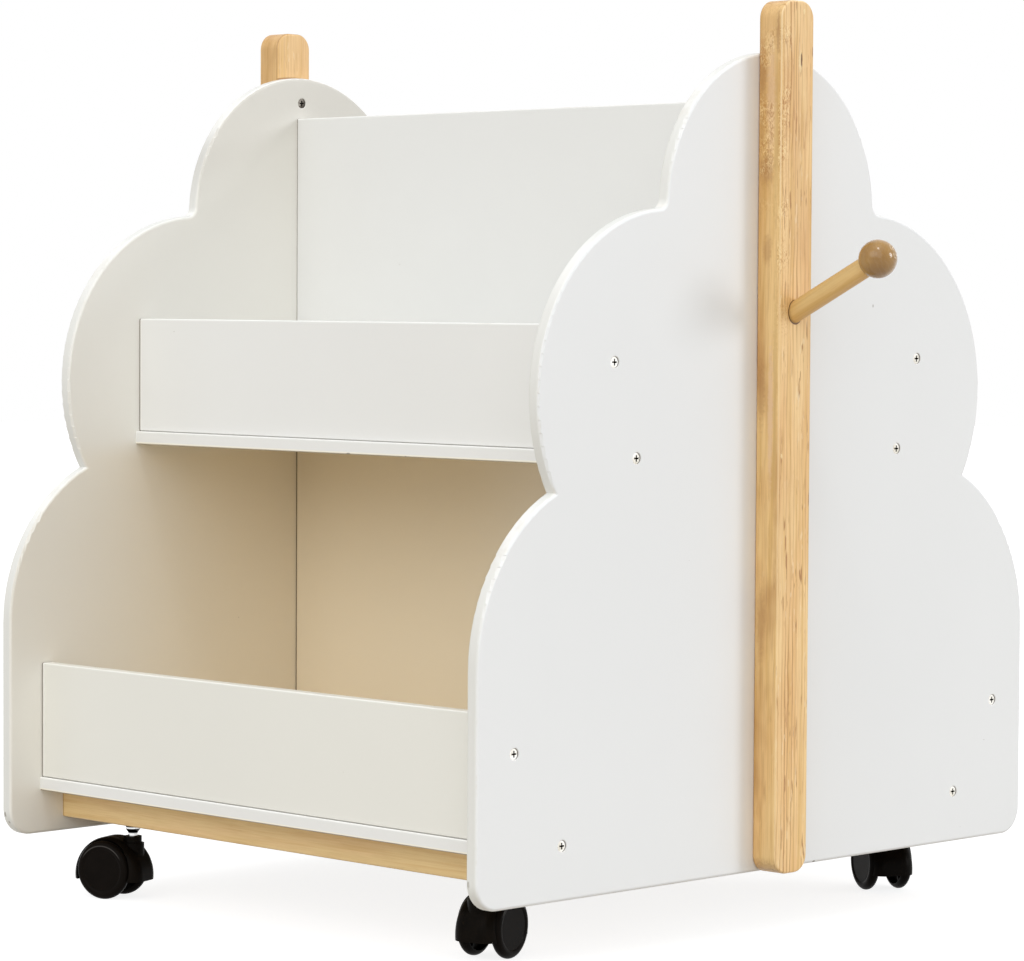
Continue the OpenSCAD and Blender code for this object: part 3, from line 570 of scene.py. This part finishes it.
# A narrow resin pocket with a pale rim near the top, pale flecks, and brown and pinkish clouds down the side
def nearPostMarks(s, tone, relief):
    for centre, size, stretch, strength, shade in postClouds:
        mask = spot(s, centre, size, 0.55, stretch, 1.3, 480.0)
        tone = s.mix(s.math("MULTIPLY", mask, strength), tone, pegSet[shade])
    rim = spot(s, (0.2520, 0.0026, 0.5668), 0.0016, 0.4, (1.6, 1.0, 3.9), 0.9, 900.0)
    slit = spot(s, (0.2520, 0.0036, 0.5674), 0.00075, 0.4, (2.0, 1.0, 5.6), 1.0, 800.0)
    tone = s.mix(s.math("MULTIPLY", rim, 0.7), tone, pegSet["resin"])
    tone = s.mix(slit, tone, pegSet["pocket"])
    for centre, size in postFlecks:
        mask = spot(s, centre, size, 0.5, (1.5, 0.8, 1.6), 1.6, 1200.0)
        tone = s.mix(s.math("MULTIPLY", mask, 0.7), tone, pegSet["resin"])
    x, y, z = s.split(s.coords)[:3]
    curl = s.noise(s.place(s.coords, scale=(1.0, 1.0, 0.5)), 620.0, 2.0, 0.6, 1.6)
    patchy = s.steps(s.noise(s.coords, 55.0, 1.0), 0.42, 0.58, 0.15, 1.0)
    nearArris = s.math("MULTIPLY", s.steps(y, -0.0085, -0.0045, 1.0, 0.0), s.steps(x, 0.2490, 0.2500))
    sideCloud = s.math("MULTIPLY", s.steps(x, 0.2450, 0.2470, 0.8, 0.0), s.steps(z, 0.46, 0.50))
    patchy = s.math("MULTIPLY", s.steps(z, 0.36, 0.46), patchy)
    where = s.math("MULTIPLY", s.math("MAXIMUM", nearArris, sideCloud), patchy)
    where = s.math("MULTIPLY", where, s.steps(z, 0.5840, 0.5940, 1.0, 0.0))
    tone = s.mix(s.math("MULTIPLY", s.steps(curl, 0.53, 0.60, 0.0, 0.6), where), tone, pegSet["resin"])
    tone = s.mix(s.math("MULTIPLY", s.steps(curl, 0.40, 0.47, 0.7, 0.0), where), tone, pegSet["curl"])
    return postTouches(s, tone, 1), s.math("SUBTRACT", relief, s.math("MULTIPLY", slit, 2.0))


def farPostMarks(s, tone, relief):
    return postTouches(s, tone, -1), relief


# The peg darkens where it enters the post, and its lower side is painted lighter against its shade
def pegEnds(s, tone, relief):
    x = s.math("ABSOLUTE", s.split(s.coords)[0])
    below = s.steps(s.split(s.add("ShaderNodeNewGeometry").outputs["Normal"])[2], -0.9, 0.5, 1.0, 0.0)
    tone = s.mix(below, tone, s.mix(1.0, tone, pegSet["underside"], "MULTIPLY"))
    return s.mix(s.steps(x, 0.2522, 0.2540, 0.3, 0.0), tone, pegSet["hole"]), relief


# Shade along a rail's top edge, under the shelf, and at its ends
def railTouches(s, tone, relief):
    x, _, z = s.split(s.coords)[:3]
    edge = s.math("MAXIMUM", s.steps(z, 0.0716, 0.0726), s.steps(s.math("ABSOLUTE", x), 0.2218, 0.2228))
    return s.mix(s.math("MULTIPLY", edge, 0.55), tone, pegSet["shade"]), relief


dress(wood("nearPostPine", postPine, nearPostMarks), "right_post")
dress(wood("farPostPine", farPine, farPostMarks), "left_post")
dress(wood("railPine", railWood, railTouches), "front_rail", "rear_rail")
dress(wood("rightPegWood", pegWood, pegEnds), "right_peg")
dress(wood("leftPegWood", dict(pegWood, turn=(0.0, math.radians(63.6), 0.0)), pegEnds), "left_peg")
dress(wood("dowelWood", dict(railWood, turn=(0.0, 0.0, 0.0))), "lip_dowels")
print("pine cut")


# Turned ball: stained brown wood under a varnish, its rings closing to a swirl of end grain on one side
ballSet = {
    "swirl": (0.3283, 0.0044, 0.4438), "period": 0.0021, "base": fromSrgb(170, 130, 66), "deep": fromSrgb(142, 102, 42),
    "pale": fromSrgb(255, 232, 196), "spot": fromSrgb(90, 58, 28), "pit": (0.3158, -0.0100, 0.4318),
    "film": {"Coat Weight": 1.0, "Coat Roughness": 0.15, "Specular IOR Level": 0.12},
}


def ballWood(name, side):
    s = Shader(name)
    w = ballSet
    centre = (side * w["swirl"][0], w["swirl"][1], w["swirl"][2])
    away = s.vector("SUBTRACT", s.coords, centre)
    wobble = s.math("MULTIPLY", s.math("SUBTRACT", s.noise(s.coords, 190.0, 2.0), 0.5), 0.0046)
    ring = s.math("DIVIDE", s.math("ADD", s.vector("LENGTH", away), wobble), w["period"])
    wave = s.steps(s.math("PINGPONG", ring, 0.5), 0.28, 0.46)
    broken = s.steps(s.noise(s.coords, 330.0, 1.0), 0.42, 0.58)
    close = s.steps(s.vector("LENGTH", away), 0.0028, 0.0080, 1.0, 0.0)
    tone = s.mix(s.steps(s.noise(s.coords, 70.0, 2.0, 0.5), 0.3, 0.72, 0.0, 0.8), w["base"], w["deep"])
    bright = s.math("MAXIMUM", s.math("MULTIPLY", s.math("MULTIPLY", close, broken), 0.95), 0.02)
    tone = s.mix(s.math("MULTIPLY", wave, bright), tone, w["pale"])
    fine = s.noise(s.place(s.coords, scale=(1.0, 0.4, 1.0)), 1500.0, 2.0)
    tone = s.mix(s.steps(fine, 0.5, 0.72, 0.0, 0.2), tone, w["deep"])
    pit = spot(s, (side * w["pit"][0], w["pit"][1], w["pit"][2]), 0.0006, 0.4)
    tone = s.mix(s.math("MULTIPLY", pit, 0.8), tone, w["spot"])
    rough = s.steps(fine, 0.3, 0.7, 0.34, 0.44)
    return s.finish(tone, rough, s.bump(s.math("ADD", fine, s.math("MULTIPLY", wave, close)), 0.00005), **w["film"])


dress(ballWood("rightBallWood", 1), "right_peg_ball")
dress(ballWood("leftBallWood", -1), "left_peg_ball")
print("balls turned")


# Metals: zinc plated screws, dark post and rail screws, brass inserts, steel axles, chrome stems
metalSet = {
    # bright tone, dull tone, roughness and how far it varies, metallic
    "zincPlate": (fromSrgb(206, 198, 182), fromSrgb(150, 136, 112), 0.3, 0.08, 1.0),
    "railScrewSteel": (fromSrgb(96, 86, 66), fromSrgb(48, 40, 24), 0.4, 0.08, 0.25),
    "turnedBrass": (fromSrgb(212, 178, 104), fromSrgb(170, 134, 70), 0.3, 0.08, 1.0),
    "axleSteel": (fromSrgb(190, 191, 194), fromSrgb(150, 150, 152), 0.26, 0.06, 1.0),
}


def metalTone(s, bright, dull):
    fine = s.noise(s.coords, 900.0, 3.0, 0.6)
    cloud = s.noise(s.coords, 900.0 * 0.12, 2.0)
    both = s.math("ADD", s.math("MULTIPLY", cloud, 0.7), s.math("MULTIPLY", fine, 0.3))
    return s.mix(s.steps(both, 0.38, 0.62), dull, bright), fine


def metal(name):
    bright, dull, rough, spread, metallic = metalSet[name]
    s = Shader(name)
    tone, fine = metalTone(s, bright, dull)
    uneven = s.steps(fine, 0.3, 0.7, rough - spread, rough + spread)
    return s.finish(tone, uneven, s.bump(fine, 0.00002), Metallic=metallic)


# A screw's head: a dark rim where it meets its seat, shifted to one side as a crescent of painted shade, painted shade
# in its cross recess, faint turning rings between
def screwHeads(name, places, face, bright, dull, dark, rough):
    s = Shader(name)
    tone, fine = metalTone(s, bright, dull)
    reach = headDistance(s, places)
    depth = s.math("ABSOLUTE", s.math("SUBTRACT", s.math("ABSOLUTE", s.split(s.coords)[0]), face))
    rings = s.math("PINGPONG", s.math("MULTIPLY", reach, 2600.0), 1.0)
    tone = s.mix(s.math("MULTIPLY", rings, 0.12), tone, dull)
    rim = s.steps(headDistance(s, places, -0.0007), headSet["radius"] - 0.0003, headSet["radius"] + 0.0002, 0.0, 0.95)
    recessShade = s.math("MULTIPLY", s.steps(depth, 0.00035, 0.0007), s.steps(reach, 0.0023, 0.0026, 1.0, 0.0))
    tone = s.mix(s.math("MAXIMUM", rim, recessShade), tone, dark)
    return s.finish(tone, s.steps(fine, 0.3, 0.7, rough - 0.06, rough + 0.06), s.bump(fine, 0.00002), Metallic=1.0)


dress(screwHeads("zincHeads", headSet["places"], 0.2321, fromSrgb(246, 244, 238), fromSrgb(206, 200, 186),
                 fromSrgb(44, 38, 30), 0.28), "right_panel_screws", "left_panel_screws")
dress(screwHeads("darkHeads", headSet["posts"], 0.2237, fromSrgb(150, 144, 134), fromSrgb(70, 65, 58),
                 fromSrgb(20, 18, 16), 0.3), "post_screws")
dress(metal("zincPlate"), "divider_screws")
dress(metal("railScrewSteel"), "rail_screws")
dress(metal("turnedBrass"), "rail_inserts")
axleSteel = metal("axleSteel")


# Chrome stems, with painted reflections: dark and light bands by turns down the flange, cone and neck
stemSet = {
    "span": (0.0432, 0.0530),  # z of the lowest and the highest band
    "reflectionBands": ((0.0, 238), (0.19, 226), (0.24, 110), (0.28, 22), (0.46, 34), (0.52, 24), (0.55, 222), (0.60, 240),
              (0.63, 190), (0.66, 44), (1.0, 30)),  # share of the span, grey level
    "haze": (0.3, 0.3, 0.32),
}


def stemChrome(name):
    s = Shader(name)
    at = s.steps(s.split(s.coords)[2], *stemSet["span"])
    at.node.interpolation_type = "LINEAR"
    tone = s.ramp(at, tuple((share, fromSrgb(level, level, level)) for share, level in stemSet["reflectionBands"]))
    fine = s.noise(s.coords, 500.0, 3.0, 0.6)
    tone = s.mix(s.steps(fine, 0.3, 0.7, 0.1, 0.0), tone, stemSet["haze"])
    return s.finish(tone, s.steps(fine, 0.3, 0.7, 0.07, 0.13), s.bump(fine, 0.000005), Metallic=1.0)


chrome = stemChrome("stemChrome")
print("metals set")


# Caster plastic: near-black nylon with a fine moulded texture, a painted highlight on the upper part of each wheel's
# shoulder, and a little pale dust low on the treads
plasticSet = {
    "body": fromSrgb(20, 16, 12), "dull": fromSrgb(13, 10, 7), "wheel": fromSrgb(20, 16, 13),
    "dust": fromSrgb(40, 35, 29),
    "shoulder": 0.0168, "shoulderHighlight": fromSrgb(50, 46, 41), "ringFrom": (0.0260, 0.0330), "dustTo": (0.0005, 0.007),
    "gloss": 0.03, "ringGloss": 0.4,
}


def plastic(name, rough, dusty):
    s = Shader(name)
    w = plasticSet
    cloud = s.noise(s.coords, 60.0, 3.0, 0.6)
    grainy = s.noise(s.coords, 2600.0, 2.0, 0.6)
    tone = s.mix(s.steps(cloud, 0.35, 0.65), w["dull"], w["body"])
    gloss = w["gloss"]
    if dusty:
        tone = s.mix(s.steps(cloud, 0.35, 0.65, 0.4, 1.0), w["dull"], w["wheel"])
        reach = s.add("ShaderNodeAttribute", attribute_name="reach").outputs["Fac"]
        gap = s.math("ABSOLUTE", s.math("SUBTRACT", reach, w["shoulder"]))
        z = s.split(s.coords)[2]
        # Painted highlight: a paler ring on the upper part of the shoulder, which is also glossier there
        ring = s.math("MULTIPLY", s.steps(gap, 0.0001, 0.0005, 1.0, 0.0), s.steps(z, *w["ringFrom"]))
        tone = s.mix(ring, tone, w["shoulderHighlight"])
        gloss = s.steps(ring, 0.0, 1.0, w["gloss"], w["ringGloss"])
        low = s.steps(z, *w["dustTo"], 1.0, 0.0)
        tone = s.mix(s.math("MULTIPLY", low, s.steps(grainy, 0.45, 0.62, 0.0, 0.5)), tone, w["dust"])
    uneven = s.steps(s.math("ADD", s.math("MULTIPLY", cloud, 0.5), s.math("MULTIPLY", grainy, 0.5)), 0.35, 0.65,
                     rough - 0.05, rough + 0.06)
    s.feed(s.surface.inputs["Specular IOR Level"], gloss)
    return s.finish(tone, uneven, s.bump(grainy, 0.00002))


hoodPlastic = plastic("hoodPlastic", 0.34, False)
wheelPlastic = plastic("wheelPlastic", 0.32, True)


# Each vertex of a wheel keeps its distance from the axle: the part of its offset that is square to the axle's direction
def markReach(corner):
    wheels = [nodes[corner + "_wheel_" + k].data for k in "ab"]
    places = []
    for mesh in wheels:
        flat = np.empty(len(mesh.vertices) * 3)
        mesh.vertices.foreach_get("co", flat)
        places.append(flat.reshape(-1, 3))
    middle = [(p.min(0) + p.max(0)) / 2 for p in places]
    axis = (middle[1] - middle[0]) / np.linalg.norm(middle[1] - middle[0])
    for mesh, place in zip(wheels, places):
        offset = place - middle[0]
        offset -= (offset @ axis)[:, None] * axis
        reach = mesh.attributes.new("reach", "FLOAT", "POINT")
        reach.data.foreach_set("value", np.linalg.norm(offset, axis=1))


for corner in ("front_left", "front_right", "rear_right", "rear_left"):
    markReach(corner)
    dress(chrome, corner + "_stem")
    dress(axleSteel, corner + "_axle")
    dress(hoodPlastic, corner + "_hood")
    dress(wheelPlastic, corner + "_wheel_a", corner + "_wheel_b")
print("casters dressed")


# Studio: a plain pale floor, five distant lamps and a dim even sky before a white background
studioSet = {
    "skyLevel": 0.75,
    "skyColour": (0.985, 1.0, 1.02),
    "floorGlow": 0.84,
    "floorShown": 0.36,
    "floorPlain": (0.40, 0.36, 0.30),
    "floorHalf": 8.0,
    "lampDistance": 4.0,
    "suns": (
        # name, direction towards it, angle across in degrees, strength, colour
        ("keySun", (0.77, 0.57, 0.29), 18.0, 0.72, (0.96, 1.0, 1.06)),
        ("frontSun", (0.12, -0.90, 0.50), 40.0, 0.54, (1.0, 1.0, 1.0)),
        ("highSun", (0.30, -0.25, 0.90), 50.0, 0.30, (1.0, 1.0, 1.0)),
        ("glintSun", (0.30, -0.31, 0.90), 12.0, 0.34, (1.0, 1.0, 1.0)),
        ("cameraSun", (0.62, -0.62, 0.40), 40.0, 0.36, (1.0, 1.0, 1.0)),
    ),
}


# One where the camera, a mirror or a clear surface looks, so that they show the white background
def seenDirectly(tree):
    path = tree.nodes.new("ShaderNodeLightPath")
    value = path.outputs["Is Camera Ray"]
    for name in ("Is Glossy Ray", "Is Transmission Ray"):
        node = tree.nodes.new("ShaderNodeMath")
        node.operation = "MAXIMUM"
        tree.links.new(value, node.inputs[0])
        tree.links.new(path.outputs[name], node.inputs[1])
        value = node.outputs[0]
    return value


def makeStudio(s):
    world = bpy.data.worlds.new("studio")
    bpy.context.scene.world = world
    world.use_nodes = True
    tree = world.node_tree
    tree.nodes.clear()
    sky, backdrop = (tree.nodes.new("ShaderNodeBackground") for _ in range(2))
    sky.inputs["Color"].default_value = (*s["skyColour"], 1.0)
    sky.inputs["Strength"].default_value = s["skyLevel"]
    backdrop.inputs["Color"].default_value = (1.0, 1.0, 1.0, 1.0)
    backdrop.inputs["Strength"].default_value = 1.0
    blend = tree.nodes.new("ShaderNodeMixShader")
    out = tree.nodes.new("ShaderNodeOutputWorld")
    tree.links.new(seenDirectly(tree), blend.inputs[0])
    tree.links.new(sky.outputs[0], blend.inputs[1])
    tree.links.new(backdrop.outputs[0], blend.inputs[2])
    tree.links.new(blend.outputs[0], out.inputs["Surface"])

    def hang(data, name, place, aim):
        lamp = bpy.data.objects.new(name, data)
        lamp.location = place
        lamp.rotation_mode = "QUATERNION"
        lamp.rotation_quaternion = (Vector(aim) - Vector(place)).to_track_quat("-Z", "Y")
        bpy.context.scene.collection.objects.link(lamp)

    for name, towards, angle, strength, colour in s["suns"]:
        data = bpy.data.lights.new(name, "SUN")
        data.angle = math.radians(angle)
        data.energy = strength
        data.color = colour
        hang(data, name, Vector(towards) * s["lampDistance"], (0.0, 0.0, 0.0))
    half = s["floorHalf"]
    mesh = bpy.data.meshes.new("studioFloor")
    mesh.from_pydata([(-half, -half, 0), (half, -half, 0), (half, half, 0), (-half, half, 0)], [], [(0, 1, 2, 3)])
    floor = bpy.data.objects.new("studioFloor", mesh)
    bpy.context.scene.collection.objects.link(floor)
    paper = bpy.data.materials.new("floorPaper")
    paper.use_nodes = True
    tree = paper.node_tree
    tree.nodes.clear()
    plain, shown = (tree.nodes.new("ShaderNodeBsdfDiffuse") for _ in range(2))
    plain.inputs["Color"].default_value = (*s["floorPlain"], 1.0)
    shown.inputs["Color"].default_value = (s["floorShown"], s["floorShown"], s["floorShown"], 1.0)
    glow = tree.nodes.new("ShaderNodeEmission")
    glow.inputs["Strength"].default_value = s["floorGlow"]
    both = tree.nodes.new("ShaderNodeAddShader")
    blend = tree.nodes.new("ShaderNodeMixShader")
    out = tree.nodes.new("ShaderNodeOutputMaterial")
    tree.links.new(shown.outputs[0], both.inputs[0])
    tree.links.new(glow.outputs[0], both.inputs[1])
    tree.links.new(seenDirectly(tree), blend.inputs[0])
    tree.links.new(plain.outputs[0], blend.inputs[1])
    tree.links.new(both.outputs[0], blend.inputs[2])
    tree.links.new(blend.outputs[0], out.inputs["Surface"])
    mesh.materials.append(paper)


makeStudio(studioSet)
bpy.context.scene.view_settings.view_transform = "Standard"
print("studio lit")
